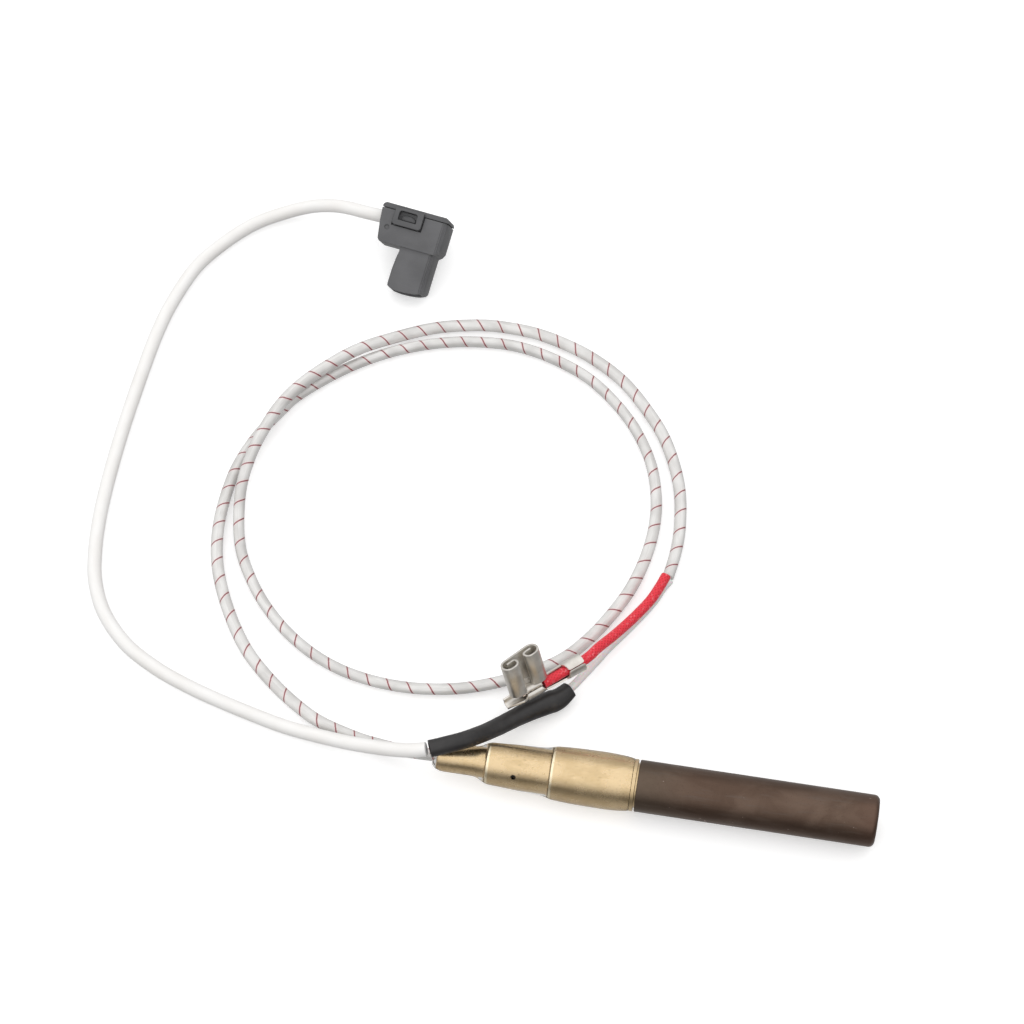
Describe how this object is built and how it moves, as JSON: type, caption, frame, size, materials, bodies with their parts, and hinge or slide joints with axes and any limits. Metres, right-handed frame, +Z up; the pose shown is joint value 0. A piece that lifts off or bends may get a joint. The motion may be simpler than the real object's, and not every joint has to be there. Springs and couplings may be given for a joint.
{
  "type": "thermocouple",
  "caption": "Flame probe with brass housing, a long silvery lead, a bare flag terminal and a spliced white cable with an insulated flag connector.",
  "frame": {"origin": "on the surface the part lies on, under the middle of the probe from its tip to the end of its clear sleeve", "axes": "+X along the probe towards its hot tip, +Z up, +Y towards the coiled lead"},
  "size_m": [0.1621, 0.1269, 0.0157],
  "materials": {
    "sheath": "heat tinted",
    "brass": "polished",
    "clear": "clear",
    "mica": "matt",
    "ceramic": "matt",
    "cement": "matt",
    "positive": "bright",
    "negative": "bright",
    "wire": "bright",
    "lead": "silvery gloss",
    "red": "braided",
    "clear_wire": "translucent",
    "white": "satin",
    "shrink": "satin",
    "tin": "tin plated",
    "strands": "bare strands",
    "black_plastic": "satin"
  },
  "bodies": {
    "body": {"hot_sheath": "sheath", "brass_housing": "brass", "clear_shrink_sleeve": "clear", "mica_liner": "mica", "tip_disc": "mica", "ceramic_core": "ceramic", "positive_element_01": "positive", "positive_element_02": "positive", "positive_element_03": "positive", "positive_element_04": "positive", "positive_element_05": "positive", "positive_element_06": "positive", "positive_element_07": "positive", "positive_element_08": "positive", "positive_element_09": "positive", "positive_element_10": "positive", "negative_element_01": "negative", "negative_element_02": "negative", "negative_element_03": "negative", "negative_element_04": "negative", "negative_element_05": "negative", "negative_element_06": "negative", "negative_element_07": "negative", "negative_element_08": "negative", "negative_element_09": "negative", "negative_element_10": "negative", "cold_end_spacer": "ceramic", "cement_plug": "cement", "positive_tail_wire": "wire", "negative_tail_wire": "wire", "lead": "lead", "red_sleeve": "red", "positive_conductor": "strands", "flag_terminal": "tin", "negative_wire": "clear_wire", "splice_ferrule": "tin", "black_shrink_sleeve": "shrink", "white_cable": "white", "cable_conductor": "strands", "connector_housing": "black_plastic", "connector_terminal": "tin"},
    "rear_cover": {"connector_rear_cover": "black_plastic"}
  },
  "joints": [
    {"name": "rear_cover_hinge", "type": "hinge", "parent": "body", "child": "rear_cover", "pos_m": [-0.06526, 0.11946, 0.00632], "axis": [-0.9843, 0.1738, -0.0319], "range_deg": [0, 110]}
  ]
}
